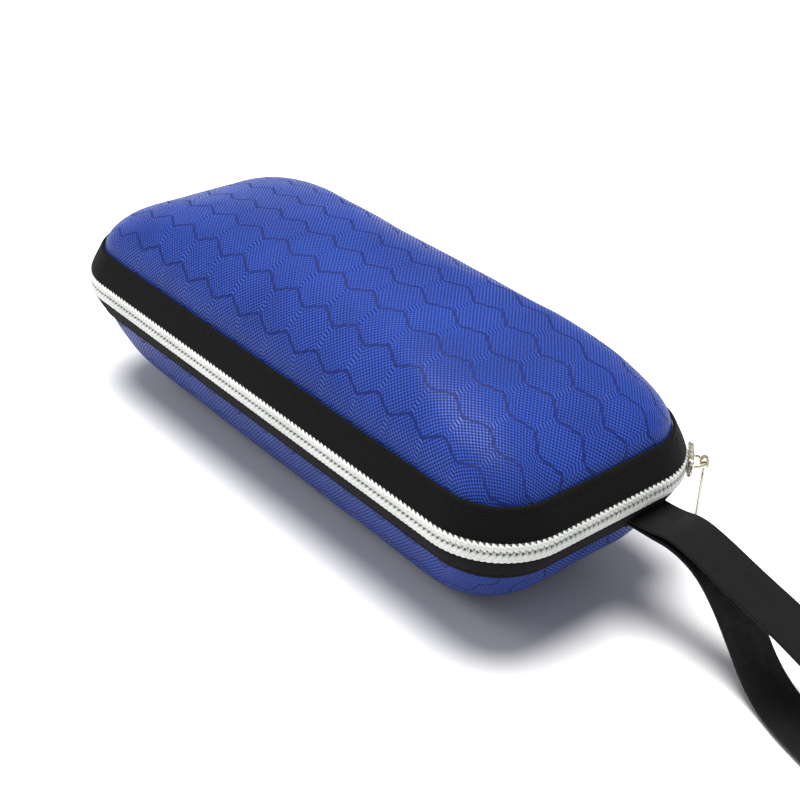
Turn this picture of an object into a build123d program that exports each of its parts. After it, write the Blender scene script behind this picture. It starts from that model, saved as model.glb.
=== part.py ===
from build123d import *
import math
import os

# Zip-up moulded eyeglasses case, closed and standing on its flat bottom.
# Millimetres. Origin: centre of the flat resting face. +X along the length, towards the
# short end that carries the slider and the wrist strap. +Z up. The zipper opens at -Y and
# the fabric hinge is at +Y. Heights called "above" or "below" are counted from the
# zipper plane, the level at which the two halves meet.

# Driving dimensions
LENGTH = 162.0
WIDTH = 67.0
CORNER = 18.0
ZIP_HEIGHT = 29.0
LID_RISE = 27.0

# Wall layers, outside to inside
FABRIC = 0.6
FOAM = 2.6
LINING = 0.6

# Rim: the walls flare out to the zipper under a sewn band on each half
RIM_GAP = 3.0
BAND_START = 2.4
BAND_FOOT = 0.6
BAND_HEIGHT = 8.4
BAND_INSET = 3.45
BAND = 0.6
TAPE = 0.35
TAPE_START = 0.5
TAPE_END = 7.4
COIL_HALF = 2.2
COIL_SPLIT = 0.4
BINDING = 0.5
INNER_BINDING_END = 8.0
THREAD = 0.4
STITCH_EDGE = 1.2

# How each half is rounded: the powers of its profile curve and its flat patch
LID_SHAPE = {"height": LID_RISE, "power": 1.66, "side": 2.29, "end": 2.43, "flat": (4.0, 4.0)}
BASE_SHAPE = {"height": ZIP_HEIGHT, "power": 1.4, "side": 1.9, "end": 2.1, "flat": (50.0, 12.0)}
PROFILE_ANGLES = (18, 36, 52, 65, 76, 84, 90)
CORNER_SHARE = 0.97

# Hinge
HINGE_HALF_LENGTH = 50.0
HINGE_STRIP = 0.5
HINGE_STRIP_END = 6.6
HINGE_GAP = 0.2

# Zipper ends, on the straight rear side
ZIP_END_X = 58.0
STOP_LENGTH = 1.6
STOP_GAP = 0.1
COIL_DEPTH = 1.2

# Slider
PARK_ANGLE = 42.0
SLIDER_LENGTH = 8.0
SLIDER_ROUND = 1.2
SLIDER_GAP = 0.3
PLATE = 1.0
PLATE_LOW = 3.0
PLATE_HIGH = 1.8
PLATE_TOP = 2.6
WEB_HALF = 0.25
WEB_LENGTH = 2.4
WEB_MIDDLE = 2.4
INNER_PLATE = 0.7
INNER_PLATE_LENGTH = 7.2
INNER_PLATE_DEPTH = 2.6
INNER_PLATE_LOW = 2.0
BAR_RADIUS = 0.5
BAR_OUT = 2.4
BRIDGE_HALF = 2.7
EYE_RADIUS = 0.56
EYE_OUTER = 1.15
EYE_LENGTH = 2.4
PULL_LENGTH = 14.5
PULL_WIDTH = 4.2
PULL_THICKNESS = 0.6
PULL_ROUND = 1.6
PULL_NECK_DROP = 1.35

HALF_LENGTH = LENGTH / 2
HALF_WIDTH = WIDTH / 2
WALL = FABRIC + FOAM + LINING

# Wrist strap: a flat ribbon sewn in below the zipper, drawn in the plane through STRAP_Y
STRAP_Y = 13.0
STRAP_WIDTH = 11.5
STRAP_THICKNESS = 0.9
STRAP_DROP = 6.0
STRAP_CLEARANCE = 0.05
ANCHOR_DEPTH = 2.6
SLOT_MARGIN = 1.0
STITCH_OFFSET = 1.8
TURN_SHARE = 0.45
STRAP_ROUTE = [
    (83.5, 23.45),
    (89.2, 25.1),
    (96.4, 23.7),
    (106.0, 20.9),
    (118.0, 18.2),
    (132.0, 13.6),
    (145.5, 8.2),
    (159.0, 4.2),
    (173.5, 2.9),
    (187.0, 5.6),
    (198.0, 12.0),
    (208.0, 20.0),
    (217.0, 26.7),
    (225.4, 26.5),
    (232.1, 21.5),
    (234.7, 13.5),
    (232.0, 5.6),
    (225.2, 0.7),
    (212.0, 0.6),
    (196.0, 1.1),
    (179.0, 0.6),
    (161.0, 1.2),
    (144.0, 0.6),
    (130.0, 1.2),
    (120.5, 0.9),
    (113.6, 3.8),
    (108.2, 9.6),
    (103.0, 15.8),
    (97.4, 21.0),
    (90.6, 23.1),
    (84.3, 22.55),
]


def band_face(height):
    """Inset of the band's outer face at a height from the zipper plane."""
    slope = (BAND_INSET - BAND_FOOT) / (BAND_HEIGHT - BAND_START)
    return BAND_FOOT + slope * (height - BAND_START)


def fabric_face(height):
    """Inset of the outer fabric's outer face where it lies under the band."""
    return band_face(height) + BAND + TAPE


def inner_face(height):
    """Inset of the inner binding's inner face."""
    return fabric_face(height) + WALL + BINDING


def in_half(direction, height):
    """Height above the floor of a level counted from the zipper plane into one half."""
    return ZIP_HEIGHT + direction * height


def levels(shape, depth):
    """Half length, half width, corner radius and height of one wall surface's sections."""
    top_inset = fabric_face(BAND_HEIGHT) + depth
    result = []
    for height in (RIM_GAP, BAND_HEIGHT):
        inset = fabric_face(height) + depth
        result.append((HALF_LENGTH - inset, HALF_WIDTH - inset, CORNER - inset, height))
    flat_length, flat_width = shape["flat"]
    curved_length = HALF_LENGTH - top_inset - flat_length
    curved_width = HALF_WIDTH - top_inset - flat_width
    rise = shape["height"] - depth - BAND_HEIGHT
    for angle in PROFILE_ANGLES:
        climb = math.sin(math.radians(angle))
        left = max(0.0, 1 - climb ** shape["power"])
        half_length = flat_length + curved_length * left ** (1 / shape["end"])
        half_width = flat_width + curved_width * left ** (1 / shape["side"])
        corner = min(CORNER - top_inset, CORNER_SHARE * half_length, CORNER_SHARE * half_width)
        result.append((half_length, half_width, corner, BAND_HEIGHT + rise * climb))
    return result


def moulded(shape, direction, depth):
    """The solid inside one wall surface of a half, from its rim to its top or bottom."""
    sections = []
    for half_length, half_width, corner, height in levels(shape, depth):
        section = RectangleRounded(2 * half_length, 2 * half_width, corner)
        sections.append(Pos(0, 0, in_half(direction, height)) * section)
    return loft(sections[:2], ruled=True) + loft(sections[1:])


def wall_layer(shape, direction, outer, inner):
    return moulded(shape, direction, outer) - moulded(shape, direction, inner)


def rim_path(first, last):
    """The case's outline, counter-clockwise, from a point on the rear side to another."""
    x = HALF_LENGTH - CORNER
    y = HALF_WIDTH - CORNER
    mid = CORNER * math.sqrt(0.5)
    edges = [Line((first, HALF_WIDTH, 0), (-x, HALF_WIDTH, 0))]
    corners = [(-1, 1), (-1, -1), (1, -1), (1, 1)]
    arc_ends = [(-HALF_LENGTH, y), (-x, -HALF_WIDTH), (HALF_LENGTH, -y), (x, HALF_WIDTH)]
    line_ends = [(-HALF_LENGTH, -y), (x, -HALF_WIDTH), (HALF_LENGTH, y), (last, HALF_WIDTH)]
    for (sx, sy), arc_end, line_end in zip(corners, arc_ends, line_ends):
        through = (sx * (x + mid), sy * (y + mid), 0)
        edges.append(ThreePointArc(edges[-1] @ 1, through, (*arc_end, 0)))
        edges.append(Line(edges[-1] @ 1, (*line_end, 0)))
    return Wire(edges)


def rear_profile(points, direction, x):
    """The face of a profile of (inset, height) points, on the rear side at x."""
    plane = Plane(origin=(x, HALF_WIDTH, ZIP_HEIGHT), x_dir=(0, -1, 0), z_dir=(-1, 0, 0))
    profile = [(inset, direction * height) for inset, height in points]
    return plane * make_face(Polyline(*profile, close=True))


def along_rim(points, direction, first, last):
    """Sweep a profile of (inset, height) points along the outline."""
    path = Pos(0, 0, ZIP_HEIGHT) * rim_path(first, last)
    return sweep(rear_profile(points, direction, first), path=path)


def full_ring(points, direction):
    return along_rim(points, direction, 0, 0)


def zipper_run(points, direction):
    return along_rim(points, direction, -ZIP_END_X, ZIP_END_X)


def band_points():
    return [
        (band_face(BAND_START), BAND_START),
        (band_face(BAND_HEIGHT), BAND_HEIGHT),
        (band_face(BAND_HEIGHT) + BAND, BAND_HEIGHT),
        (band_face(BAND_START) + BAND, BAND_START),
    ]


def tape_points():
    outer = band_face(BAND_START) + BAND
    return [
        (outer, TAPE_START),
        (outer, BAND_START),
        (band_face(TAPE_END) + BAND, TAPE_END),
        (band_face(TAPE_END) + BAND + TAPE, TAPE_END),
        (outer + TAPE, BAND_START),
        (outer + TAPE, TAPE_START),
    ]


def coil_points():
    back = band_face(BAND_START) + BAND
    return [(0, COIL_SPLIT), (0, COIL_HALF), (back, COIL_HALF), (back, COIL_SPLIT)]


def inner_binding_points():
    """An L over the rim's cut edge and up the lining."""
    edge = RIM_GAP - BINDING
    return [
        (fabric_face(edge), edge),
        (fabric_face(RIM_GAP), RIM_GAP),
        (fabric_face(RIM_GAP) + WALL, RIM_GAP),
        (fabric_face(INNER_BINDING_END) + WALL, INNER_BINDING_END),
        (inner_face(INNER_BINDING_END), INNER_BINDING_END),
        (inner_face(edge), edge),
    ]


def thread_ring(direction):
    """The sewing thread that shows on the band, close to its free edge."""
    height = BAND_HEIGHT - STITCH_EDGE
    low = height - THREAD / 2
    high = height + THREAD / 2
    points = [
        (band_face(low) - THREAD, low),
        (band_face(high) - THREAD, high),
        (band_face(high), high),
        (band_face(low), low),
    ]
    return full_ring(points, direction)


def hinge_leaf(points, direction):
    """A straight strip along the middle of the rear side."""
    profile = rear_profile(points, direction, -HINGE_HALF_LENGTH)
    return extrude(profile, amount=-2 * HINGE_HALF_LENGTH)


def outer_leaf_points():
    face = band_face(BAND_START)
    end = band_face(HINGE_STRIP_END)
    return [
        (face - HINGE_STRIP, HINGE_GAP),
        (face - HINGE_STRIP, BAND_START),
        (end - HINGE_STRIP, HINGE_STRIP_END),
        (end, HINGE_STRIP_END),
        (face, BAND_START),
        (face, HINGE_GAP),
    ]


def inner_leaf_points():
    edge = RIM_GAP - BINDING
    lower = inner_face(edge)
    upper = inner_face(HINGE_STRIP_END)
    return [
        (lower, HINGE_GAP),
        (lower, edge),
        (upper, HINGE_STRIP_END),
        (upper + HINGE_STRIP, HINGE_STRIP_END),
        (lower + HINGE_STRIP, edge),
        (lower + HINGE_STRIP, HINGE_GAP),
    ]


def end_stops(direction):
    """A small metal clamp round each end of one coil."""
    stops = []
    for side in (-1, 1):
        clamp = Box(STOP_LENGTH, COIL_DEPTH, COIL_HALF - COIL_SPLIT)
        middle = (COIL_HALF + COIL_SPLIT) / 2
        x = side * (ZIP_END_X - STOP_LENGTH / 2 - STOP_GAP)
        stops.append(Pos(x, HALF_WIDTH - COIL_DEPTH / 2, in_half(direction, middle)) * clamp)
    return Compound(children=stops)


def slider_frame():
    """Local frame of the parked slider: x outward, y along the zipper, z up."""
    angle = math.radians(PARK_ANGLE)
    outward = (math.cos(angle), math.sin(angle), 0)
    x = HALF_LENGTH - CORNER + CORNER * outward[0]
    y = HALF_WIDTH - CORNER + CORNER * outward[1]
    return Plane(origin=(x, y, ZIP_HEIGHT), x_dir=outward, z_dir=(0, 0, 1))


def outer_plate():
    """The slider's outer plate, its top edge sloped like the lid's rim."""
    outer = SLIDER_GAP + PLATE
    points = [
        (SLIDER_GAP, -PLATE_LOW),
        (outer, -PLATE_LOW),
        (outer, PLATE_TOP),
        (SLIDER_GAP, PLATE_HIGH),
    ]
    side = Plane(origin=(0, SLIDER_LENGTH / 2, 0), x_dir=(1, 0, 0), z_dir=(0, -1, 0))
    plate = extrude(side * make_face(Polyline(*points, close=True)), amount=SLIDER_LENGTH)
    return fillet(plate.edges().filter_by(Axis.X), SLIDER_ROUND)


def slider_body():
    depth = SLIDER_GAP + INNER_PLATE_DEPTH
    web = Pos(SLIDER_GAP - depth / 2, WEB_MIDDLE, 0) * Box(depth, WEB_LENGTH, 2 * WEB_HALF)
    middle = (WEB_HALF - INNER_PLATE_LOW) / 2
    inner = Box(INNER_PLATE, INNER_PLATE_LENGTH, INNER_PLATE_LOW + WEB_HALF)
    inner = Pos(-INNER_PLATE_DEPTH - INNER_PLATE / 2, 0, middle) * inner
    return outer_plate() + web + inner


def slider_bridge():
    start = SLIDER_GAP + PLATE
    bridge = Pos(start + BAR_OUT, 0, 0) * Rot(90, 0, 0) * Cylinder(BAR_RADIUS, 2 * BRIDGE_HALF)
    for side in (-1, 1):
        post = Box(BAR_OUT, 2 * BAR_RADIUS, 2 * BAR_RADIUS)
        bridge += Pos(start + BAR_OUT / 2, side * (BRIDGE_HALF - BAR_RADIUS), 0) * post
    return bridge


def pull_tab():
    plate = Box(PULL_THICKNESS, PULL_WIDTH, PULL_LENGTH - 2 * EYE_OUTER)
    plate = fillet(plate.edges().filter_by(Axis.X).group_by(Axis.Z)[0], PULL_ROUND)
    neck = Box(PULL_THICKNESS, EYE_LENGTH, 2 * EYE_OUTER)
    whole = Rot(90, 0, 0) * Cylinder(EYE_OUTER, EYE_LENGTH)
    whole += Pos(0, 0, -PULL_LENGTH / 2) * plate
    whole += Pos(0, 0, -PULL_NECK_DROP) * neck
    whole -= Rot(90, 0, 0) * Cylinder(EYE_RADIUS, 2 * PULL_WIDTH)
    return Pos(SLIDER_GAP + PLATE + BAR_OUT, 0, 0) * whole


def strap_profile():
    """The ribbon's whole run, seen from the front: out above, back below."""
    upper = in_half(-1, STRAP_DROP) + STRAP_THICKNESS / 2
    lower = in_half(-1, STRAP_DROP) - STRAP_THICKNESS / 2
    exit_x = HALF_LENGTH - band_face(STRAP_DROP)
    return [(exit_x, upper)] + STRAP_ROUTE + [(exit_x, lower)]


def turn_radii(points):
    """The largest tangent arc at each corner that leaves a straight piece on its shorter run."""
    radii = []
    for before, corner, after in zip(points, points[1:], points[2:]):
        arriving = Vector(*corner) - Vector(*before)
        leaving = Vector(*after) - Vector(*corner)
        half_turn = math.radians(arriving.get_angle(leaving)) / 2
        radii.append(TURN_SHARE * min(arriving.length, leaving.length) / math.tan(half_turn))
    return radii


def wrist_strap():
    points = [(x, STRAP_Y, z) for x, z in strap_profile()]
    radii = turn_radii(points)
    print("strap radii", [round(radius, 1) for radius in radii])
    path = FilletPolyline(*points, radius=radii)
    print("strap length", round(path.length, 1))
    start = Plane(origin=points[0], x_dir=(0, 1, 0), z_dir=path % 0)
    section = start * Rectangle(STRAP_WIDTH, STRAP_THICKNESS - 2 * STRAP_CLEARANCE)
    strap = sweep(section, path=path)
    print("strap volume", round(strap.volume, 1), round(section.area * path.length, 1))
    return strap


def strap_slot(margin):
    """The slit in the lower rim that takes the strap's two ends, longer by a margin each way."""
    outer_x = HALF_LENGTH - band_face(STRAP_DROP)
    slot = Box(ANCHOR_DEPTH + 2 * margin, STRAP_WIDTH, 2 * STRAP_THICKNESS)
    return Pos(outer_x - ANCHOR_DEPTH / 2, STRAP_Y, in_half(-1, STRAP_DROP)) * slot


def strap_stitching():
    """The thread that holds the strap's ends, on the band above and below the slit."""
    slope = math.degrees(math.atan2(BAND_INSET - BAND_FOOT, BAND_HEIGHT - BAND_START))
    leaning = Rot(0, slope, 0) * Pos(THREAD / 2, 0, 0) * Box(THREAD, STRAP_WIDTH, THREAD)
    threads = []
    for height in (STRAP_DROP - STITCH_OFFSET, STRAP_DROP + STITCH_OFFSET):
        x = HALF_LENGTH - band_face(height)
        threads.append(Pos(x, STRAP_Y, in_half(-1, height)) * leaning)
    return Compound(children=threads)


def half(name, shape, direction):
    """Every node of one half of the case."""
    return {
        name + "_outer_fabric": wall_layer(shape, direction, 0, FABRIC),
        name + "_foam_core": wall_layer(shape, direction, FABRIC, FABRIC + FOAM),
        name + "_lining": wall_layer(shape, direction, FABRIC + FOAM, WALL),
        name + "_rim_binding": full_ring(band_points(), direction),
        name + "_binding_stitching": thread_ring(direction),
        name + "_inner_binding": full_ring(inner_binding_points(), direction),
        name + "_zipper_tape": zipper_run(tape_points(), direction),
        name + "_zipper_coil": zipper_run(coil_points(), direction),
        name + "_zipper_end_stops": end_stops(direction),
        name + "_hinge_outer_leaf": hinge_leaf(outer_leaf_points(), direction),
        name + "_hinge_inner_leaf": hinge_leaf(inner_leaf_points(), direction),
    }


def main():
    parts = half("upper", LID_SHAPE, 1)
    parts.update(half("lower", BASE_SHAPE, -1))
    for name in ("lower_rim_binding", "lower_zipper_tape", "lower_outer_fabric", "lower_foam_core"):
        parts[name] -= strap_slot(SLOT_MARGIN)
    parts["strap_anchor"] = strap_slot(0)
    parts["strap_stitching"] = strap_stitching()
    parts["wrist_strap"] = wrist_strap()
    frame = slider_frame()
    parts["slider_body"] = frame * slider_body()
    parts["slider_bridge"] = frame * slider_bridge()
    parts["pull_tab"] = frame * pull_tab()
    os.makedirs("parts", exist_ok=True)
    for name, shape in parts.items():
        export_step(shape, "parts/" + name + ".step")


main()
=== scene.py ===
import math
import bmesh
import bpy
from mathutils import Matrix, Vector, noise


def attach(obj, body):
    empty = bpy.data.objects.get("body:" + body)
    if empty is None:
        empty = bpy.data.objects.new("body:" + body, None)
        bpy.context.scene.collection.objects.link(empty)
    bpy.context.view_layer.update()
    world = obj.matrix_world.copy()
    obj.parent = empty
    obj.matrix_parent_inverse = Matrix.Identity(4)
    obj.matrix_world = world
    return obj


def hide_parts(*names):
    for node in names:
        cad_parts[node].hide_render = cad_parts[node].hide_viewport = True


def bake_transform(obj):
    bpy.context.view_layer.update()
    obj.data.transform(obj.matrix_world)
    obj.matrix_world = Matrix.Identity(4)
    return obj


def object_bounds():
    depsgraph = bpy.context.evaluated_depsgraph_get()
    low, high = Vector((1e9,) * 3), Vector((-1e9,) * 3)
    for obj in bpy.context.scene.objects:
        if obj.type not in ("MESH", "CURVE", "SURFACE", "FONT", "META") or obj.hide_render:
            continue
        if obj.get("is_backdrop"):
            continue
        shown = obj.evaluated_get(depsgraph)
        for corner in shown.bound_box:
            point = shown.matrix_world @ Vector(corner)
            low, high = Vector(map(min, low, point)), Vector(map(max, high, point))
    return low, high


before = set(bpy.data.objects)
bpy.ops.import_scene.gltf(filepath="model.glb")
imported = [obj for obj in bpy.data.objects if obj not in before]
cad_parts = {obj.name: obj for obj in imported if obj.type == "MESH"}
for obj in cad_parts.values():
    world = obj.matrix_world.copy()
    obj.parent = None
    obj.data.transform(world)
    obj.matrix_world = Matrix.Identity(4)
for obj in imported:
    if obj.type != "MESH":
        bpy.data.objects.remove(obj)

CAD_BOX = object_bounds()
MM = 0.001
TAU = 2 * math.pi

# Sizes in millimetres, as in the CAD model. A shape's power, side and end are exponents: how it
# climbs, and how its width and length fall away on the way up.
HALF_LENGTH = 81.0
HALF_WIDTH = 33.5
CORNER = 18.0
ZIP_HEIGHT = 29.0
RIM_GAP = 3.0
BAND_START = 2.4
BAND_HEIGHT = 8.4
BAND = 0.6
TAPE = 0.35
FABRIC = 0.6
FOAM = 2.6
WALL = 3.8
BINDING = 0.5
LID_SHAPE = {"height": 27.0, "power": 1.66, "side": 2.29, "end": 2.43, "flat": (4.0, 4.0)}
BASE_SHAPE = {"height": 29.0, "power": 1.4, "side": 1.9, "end": 2.1, "flat": (50.0, 12.0)}
ZIP_END = 58.0  # how far along the rim from the rear middle the zipper stops
TAPE_TAIL = 50.3  # and where its tapes do
COIL_PITCH = 1.3
COIL_SLANT = -0.5
HINGE_HALF_LENGTH = 50.0
HINGE_END = 6.6
HINGE_BEND = 2.2
PARK_ANGLE = math.radians(42.0)
STRAP_Y = 13.0
STRAP_WIDTH = 11.5
STRAP_THICKNESS = 0.8
STRAP_DROP = 6.0
STITCH_OFFSET = 1.8

STRAIGHT_X = HALF_LENGTH - CORNER
STRAIGHT_Y = HALF_WIDTH - CORNER
QUARTER = CORNER * math.pi / 2
PERIMETER = 4 * STRAIGHT_X + 4 * STRAIGHT_Y + 4 * QUARTER


# ---------------------------------------------------------------- camera, light and floor

def make_camera():
    azimuth = math.radians(48.85)
    elevation = math.radians(31.4)
    roll = math.radians(2.48)
    distance = 0.3526
    aside = 0.0094
    lowered = 0.0105
    back = Vector((
        math.sin(azimuth) * math.cos(elevation),
        -math.cos(azimuth) * math.cos(elevation),
        math.sin(elevation),
    ))
    level = Vector((math.cos(azimuth), math.sin(azimuth), 0))
    rise = back.cross(level)
    place = back * distance + level * aside - rise * lowered + Vector((0, 0, ZIP_HEIGHT * MM))
    right = level * math.cos(roll) + rise * math.sin(roll)
    up = rise * math.cos(roll) - level * math.sin(roll)
    data = bpy.data.cameras.new("camera")
    data.sensor_width = 36.0
    data.lens = 67.4
    data.clip_start = 0.01
    data.clip_end = 20.0
    camera = bpy.data.objects.new("camera", data)
    camera.matrix_world = Matrix((
        (right.x, up.x, back.x, place.x),
        (right.y, up.y, back.y, place.y),
        (right.z, up.z, back.z, place.z),
        (0, 0, 0, 1),
    ))
    bpy.context.scene.collection.objects.link(camera)
    bpy.context.scene.camera = camera


def make_sun(name, azimuth, elevation, angle, strength, colour):
    """A soft sun; azimuth 0 shines from -Y and elevation 90 straight down."""
    data = bpy.data.lights.new(name, "SUN")
    data.energy = strength
    data.angle = math.radians(angle)
    data.color = colour
    sun = bpy.data.objects.new(name, data)
    turn = math.radians(azimuth)
    rise = math.radians(elevation)
    towards = Vector((
        math.sin(turn) * math.cos(rise),
        -math.cos(turn) * math.cos(rise),
        math.sin(rise),
    ))
    sun.rotation_mode = "QUATERNION"
    sun.rotation_quaternion = towards.to_track_quat("Z", "Y")
    bpy.context.scene.collection.objects.link(sun)


def make_studio():
    scene = bpy.context.scene
    scene.view_settings.view_transform = "Standard"
    world = bpy.data.worlds.new("studio")
    scene.world = world
    world.use_nodes = True
    sky = world.node_tree.nodes["Background"]
    sky.inputs["Color"].default_value = (0.97, 0.98, 1.0, 1)
    sky.inputs["Strength"].default_value = 0.38
    make_sun("key_light", azimuth=270, elevation=83, angle=38, strength=6.7, colour=(1.0, 0.99, 0.97))
    make_sun("fill_light", azimuth=-35, elevation=42, angle=24, strength=0.5, colour=(0.97, 0.98, 1.0))
    mesh = bpy.data.meshes.new("floor")
    size = 6.0
    corners = [(-size, -size, 0), (size, -size, 0), (size, size, 0), (-size, size, 0)]
    mesh.from_pydata(corners, [], [(0, 1, 2, 3)])
    floor = bpy.data.objects.new("floor", mesh)
    scene.collection.objects.link(floor)
    floor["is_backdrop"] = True
    paint = Paint("floor_paper")
    paint.base((0.72, 0.722, 0.735), 0.9)
    paint.set("Specular IOR Level", 0.1)
    mesh.materials.append(paint.material)


# ---------------------------------------------------------------- materials

class Paint:
    """A material and the few node steps that the surfaces here need."""

    def __init__(self, name):
        self.material = bpy.data.materials.new(name)
        self.material.use_nodes = True
        self.tree = self.material.node_tree
        self.shader = self.tree.nodes["Principled BSDF"]

    def set(self, socket, value):
        self.shader.inputs[socket].default_value = value

    def base(self, colour, roughness):
        self.set("Base Color", (*colour, 1))
        self.set("Roughness", roughness)

    def node(self, kind, *inputs, **settings):
        made = self.tree.nodes.new("ShaderNode" + kind)
        for name, value in settings.items():
            setattr(made, name, value)
        for socket, value in zip(made.inputs, inputs):
            self.feed(socket, value)
        return made

    def feed(self, socket, value):
        """Links another node's output to a socket, or sets the socket to a plain value."""
        if hasattr(value, "links"):
            self.tree.links.new(value, socket)
        else:
            socket.default_value = value

    def math(self, operation, *inputs):
        return self.node("Math", *inputs, operation=operation).outputs[0]

    def vector(self, operation, *inputs, output=0):
        return self.node("VectorMath", *inputs, operation=operation).outputs[output]

    def flat(self):
        """The cloth's flat coordinates, in millimetres."""
        return self.node("UVMap", uv_map="flat").outputs[0]

    def split(self, vector):
        return self.node("SeparateXYZ", vector).outputs

    def noise(self, vector, scale, detail=2.0):
        made = self.node("TexNoise", vector)
        made.inputs["Scale"].default_value = scale
        made.inputs["Detail"].default_value = detail
        return made.outputs["Fac"]

    def ramp(self, value, low, high, start=0.0, end=1.0):
        made = self.node("MapRange", value, low, high, start, end, interpolation_type="SMOOTHSTEP")
        return made.outputs[0]

    def mix(self, kind, factor, first, second):
        """The first value where factor is 0 and the second where it is 1."""
        made = self.node("Mix", data_type=kind)
        self.tree.links.new(factor, made.inputs["Factor"])
        sockets = [s for s in made.inputs if s.type == kind and s.name in ("A", "B")]
        for socket, value in zip(sockets, (first, second)):
            self.feed(socket, value)
        return [s for s in made.outputs if s.type == kind][0]

    def colours(self, factor, dark, light):
        pair = [c if hasattr(c, "links") else (*c, 1) for c in (dark, light)]
        return self.mix("RGBA", factor, *pair)

    def wave(self, value, pitch):
        """A sine of a length in millimetres, from -1 to 1."""
        return self.math("SINE", self.math("MULTIPLY", value, TAU / pitch))

    def link(self, socket, value):
        self.tree.links.new(value, self.shader.inputs[socket])

    def bump(self, height, depth_mm):
        made = self.node("Bump")
        made.inputs["Strength"].default_value = 1.0
        made.inputs["Distance"].default_value = depth_mm * MM
        self.tree.links.new(height, made.inputs["Height"])
        self.link("Normal", made.outputs[0])


HEX_PITCH = 10.45
HEX_STRETCH = 1.02
# Whole cells keep the coordinates above 0 over the case, and the fractions set where a cell starts
HEX_PHASE = (100.466, 100 * math.sqrt(3) + 1.579, 0.0)
DOT_PITCH = 1.05
TICK_PITCH = 0.9
TICK_LEAN = 0.3


def hexagons(paint, flat):
    """How far a point is from its cell's centre, in cell widths: towards the two edges that cross the
    rows, and towards the nearer of the four slanted ones. An edge is at 0.5."""
    step = (1.0, math.sqrt(3), 1.0)
    half = (0.5, math.sqrt(3) / 2, 0.5)
    place = paint.vector("DIVIDE", flat, (HEX_PITCH, HEX_PITCH * HEX_STRETCH, 1.0))
    place = paint.vector("ADD", place, HEX_PHASE)
    offsets = []
    for start in (place, paint.vector("SUBTRACT", place, half)):
        offset = paint.vector("SUBTRACT", paint.vector("MODULO", start, step), half)
        offsets.append(paint.vector("MULTIPLY", offset, (1.0, 1.0, 0.0)))
    first, second = offsets
    lengths = [paint.vector("LENGTH", offset, output=1) for offset in offsets]
    offset = paint.mix("VECTOR", paint.math("LESS_THAN", *lengths), second, first)
    across = paint.math("ABSOLUTE", paint.split(offset)[0])
    slants = []
    for side in (-1, 1):
        dot = paint.vector("DOT_PRODUCT", offset, (side * 0.5, math.sqrt(3) / 2, 0.0), output=1)
        slants.append(paint.math("ABSOLUTE", dot))
    return across, paint.math("MAXIMUM", slants[0], slants[1])


def paint_nylon():
    """Blue jacquard: cells of small staggered floats inside thin dark hexagon outlines, with painted sheen
    on the floats and painted shade in the gaps between them.
    """
    paint = Paint("blue_jacquard_nylon")
    flat = paint.flat()
    u, v, _ = paint.split(flat)
    warp = paint.wave(u, DOT_PITCH)
    weft = paint.wave(v, DOT_PITCH)
    dots = paint.ramp(paint.math("MULTIPLY", warp, weft), -0.45, 0.55)
    stepped = paint.vector("SNAP", flat, (DOT_PITCH / 4, DOT_PITCH / 4, 1.0))
    across, slanted = hexagons(paint, stepped)
    cross_wins = paint.math("GREATER_THAN", across, slanted)
    on_cross = paint.math("MULTIPLY", paint.ramp(across, 0.440, 0.452), cross_wins)
    line_wins = paint.math("SUBTRACT", 1.0, cross_wins)
    on_line = paint.math("MULTIPLY", paint.ramp(slanted, 0.462, 0.476), line_wins)
    ticks = paint.ramp(paint.wave(paint.math("MULTIPLY_ADD", u, TICK_LEAN, v), TICK_PITCH), -0.5, 0.6)
    body = paint.math("MULTIPLY", dots, paint.math("SUBTRACT", 1.0, on_cross))
    body = paint.math("ADD", body, paint.math("MULTIPLY", on_cross, ticks))
    height = paint.math("MULTIPLY", body, paint.math("SUBTRACT", 1.0, on_line))
    drift = paint.ramp(paint.noise(flat, 0.045, 3.0), 0.3, 0.7)
    # Painted light: the low colour is painted shade in the gaps between the floats and the high colour is
    # painted sheen on them, mixed by the floats' height; the drift is random tone.
    low = paint.colours(drift, (0.0015, 0.006, 0.050), (0.002, 0.008, 0.065))
    high = paint.colours(drift, (0.011, 0.046, 0.31), (0.015, 0.058, 0.38))
    weave = paint.colours(height, low, high)
    paint.link("Base Color", paint.colours(on_line, weave, (0.0015, 0.010, 0.100)))
    rough = paint.node("MapRange", height, 0.0, 1.0, 0.62, 0.28).outputs[0]
    paint.link("Roughness", rough)
    paint.set("Specular IOR Level", 0.18)
    paint.set("Sheen Weight", 0.03)
    paint.set("Sheen Roughness", 0.4)
    paint.set("Sheen Tint", (0.35, 0.5, 1.0, 1))
    fuzz = paint.noise(flat, 3.1)
    paint.bump(paint.math("MULTIPLY_ADD", fuzz, 0.25, height), 0.12)
    return paint.material


def paint_knit(name, colour, light, pitch, depth):
    """Small knitted loops in rows along the piece, with painted shade in the hollows between the loops and
    painted light on their tops.
    """
    paint = Paint(name)
    flat = paint.flat()
    u, v, _ = paint.split(flat)
    wales = paint.math("ABSOLUTE", paint.wave(v, 2 * pitch))
    lean = paint.math("MULTIPLY", wales, 0.5 * pitch)
    rows = paint.wave(paint.math("ADD", u, lean), pitch)
    loops = paint.ramp(paint.math("MULTIPLY", paint.math("MULTIPLY_ADD", rows, 0.5, 0.5), wales), 0.05, 0.8)
    fuzz = paint.noise(flat, 1.7, 4.0)
    height = paint.math("MULTIPLY_ADD", fuzz, 0.4, loops)
    # Painted shade: the colour darkens into the hollows between the loops and lightens on their tops; the
    # fuzz adds random tone.
    paint.link("Base Color", paint.colours(height, colour, light))
    paint.link("Roughness", paint.node("MapRange", fuzz, 0.2, 0.8, 0.8, 0.92).outputs[0])
    paint.set("Specular IOR Level", 0.06)
    paint.set("Sheen Weight", 0.02)
    paint.set("Sheen Roughness", 0.5)
    paint.bump(height, depth)
    return paint.material


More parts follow.
